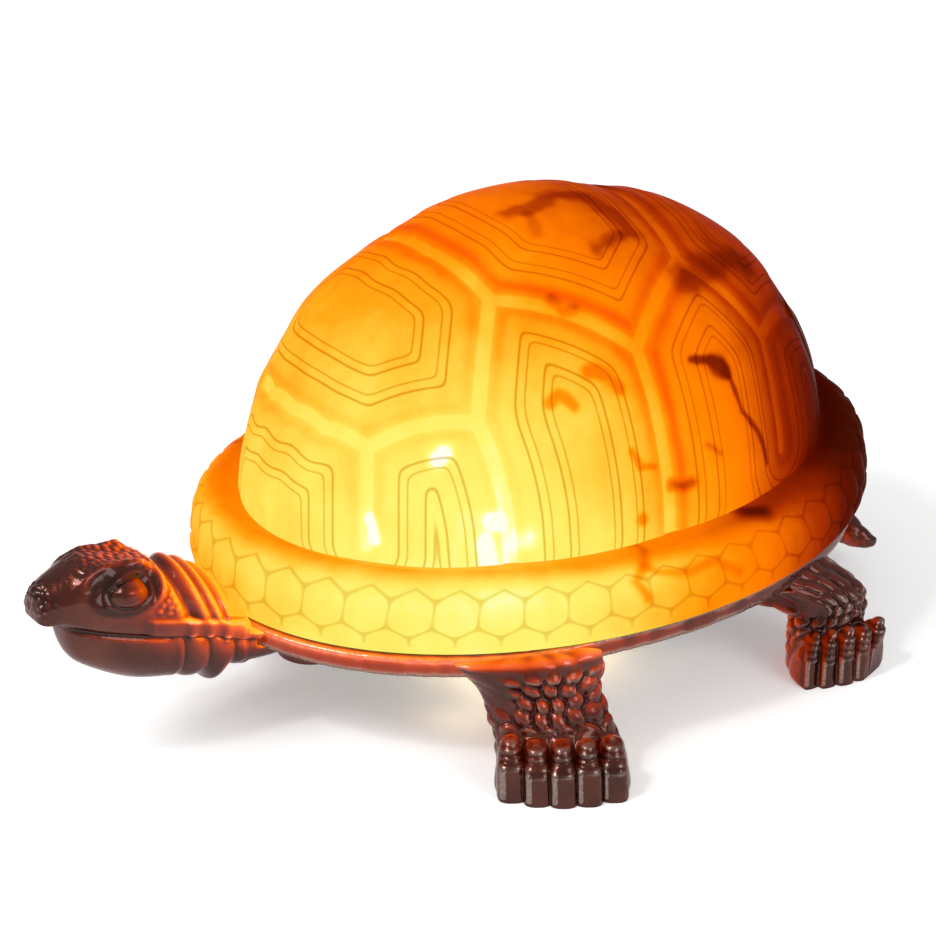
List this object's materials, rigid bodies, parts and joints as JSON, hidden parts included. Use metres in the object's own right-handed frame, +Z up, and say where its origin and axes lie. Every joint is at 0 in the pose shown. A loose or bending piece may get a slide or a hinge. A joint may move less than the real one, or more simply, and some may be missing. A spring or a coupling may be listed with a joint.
{
  "type": "turtle night light",
  "caption": "Cast turtle with a lift-off amber glass carapace over a small screw-in bulb, for use as a table night light.",
  "frame": {"origin": "on the floor under the middle of the bounding box", "axes": "+Z up, the head points along -Y, +X is the turtle's left side"},
  "size_m": [0.1538, 0.2146, 0.1047],
  "materials": {
    "shell_glass": "amber pressed glass, glossy, lit from inside",
    "bumper_rubber": "clear soft pads",
    "bronze": "cast metal with a dark reddish-bronze patina, semi-gloss",
    "pad_felt": "dark felt",
    "zinc_steel": "zinc plated",
    "plate_steel": "black satin paint on sheet steel",
    "socket_phenolic": "dark moulded insulator",
    "brass": "drawn brass",
    "solder": "dull solder",
    "bulb_ceramic": "black glass insulator",
    "bulb_clear": "clear glass, lit",
    "stem_glass": "clear glass",
    "tungsten": "glowing filament",
    "grommet_rubber": "black rubber",
    "lead_black": "black insulation",
    "lead_white": "white insulation",
    "connector_nylon": "natural nylon"
  },
  "bodies": {
    "base": {"shell_bumpers": "bumper_rubber", "tray_casting": "bronze", "head_casting": "bronze", "tail_casting": "bronze", "front_left_leg": "bronze", "front_right_leg": "bronze", "rear_left_leg": "bronze", "rear_right_leg": "bronze", "front_left_pad": "pad_felt", "front_right_pad": "pad_felt", "rear_left_pad": "pad_felt", "rear_right_pad": "pad_felt", "leg_screws": "zinc_steel", "neck_screws": "zinc_steel", "tail_screw": "zinc_steel", "base_screws": "zinc_steel", "bracket_rivets": "zinc_steel", "nipple_nut": "zinc_steel", "hollow_nipple": "zinc_steel", "base_plate": "plate_steel", "socket_bracket": "plate_steel", "socket_body": "socket_phenolic", "socket_shell": "brass", "contact_spring": "brass", "cord_grommet": "grommet_rubber", "live_lead": "lead_black", "neutral_lead": "lead_white", "wire_connectors": "connector_nylon"},
    "shell": {"glass_shell": "shell_glass"},
    "bulb_slide": {"bulb_tip": "solder"},
    "bulb": {"bulb_insulator": "bulb_ceramic", "bulb_cap": "brass", "bulb_glass": "bulb_clear", "bulb_stem": "stem_glass", "bulb_filament": "tungsten"}
  },
  "joints": [
    {"name": "shell_lift", "type": "slide", "parent": "base", "child": "shell", "axis": [0, 0, 1], "range_m": [0, 0.08]},
    {"name": "bulb_advance", "type": "slide", "parent": "base", "child": "bulb_slide", "axis": [0, -1, 0], "range_m": [0, 0.00762]},
    {"name": "bulb_turn", "type": "hinge", "parent": "bulb_slide", "child": "bulb", "pos_m": [0, 0.03835, 0.031], "axis": [0, -1, 0], "range_deg": [0, 1080]}
  ],
  "couplings": [
    {"joint": "bulb_turn", "follows": "bulb_advance", "rad_per_m": 2473.7}
  ]
}
